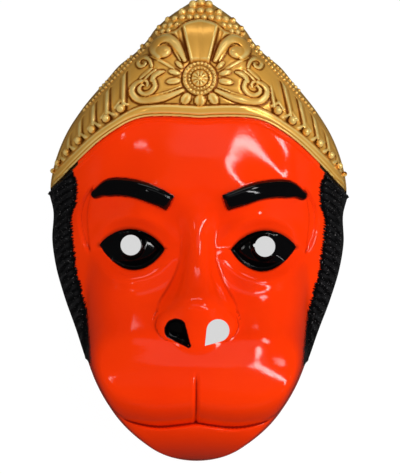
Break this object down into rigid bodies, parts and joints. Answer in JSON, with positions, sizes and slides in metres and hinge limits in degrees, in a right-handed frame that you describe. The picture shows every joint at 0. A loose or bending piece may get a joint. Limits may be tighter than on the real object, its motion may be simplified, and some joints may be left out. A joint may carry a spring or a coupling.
{
  "type": "hanuman mask",
  "caption": "Thin moulded face mask of a crowned monkey deity, hollow behind, with open pupils and a cut nostril, worn over the face or hung for show.",
  "frame": {"origin": "centre of the bounding box at the level of the cut rim, on which the mask lies", "axes": "+X to the viewer's right across the face, +Y from the chin to the tip of the crown, +Z out of the face towards the viewer"},
  "size_m": [0.1632, 0.2536, 0.0949],
  "materials": {
    "painted_plastic": "glossy orange-red paint on the face, glossy black on brows, eyes and hair, satin gold on the crown, bare pale plastic behind"
  },
  "bodies": {
    "root": {"mask_shell": "painted_plastic"}
  },
  "joints": []
}
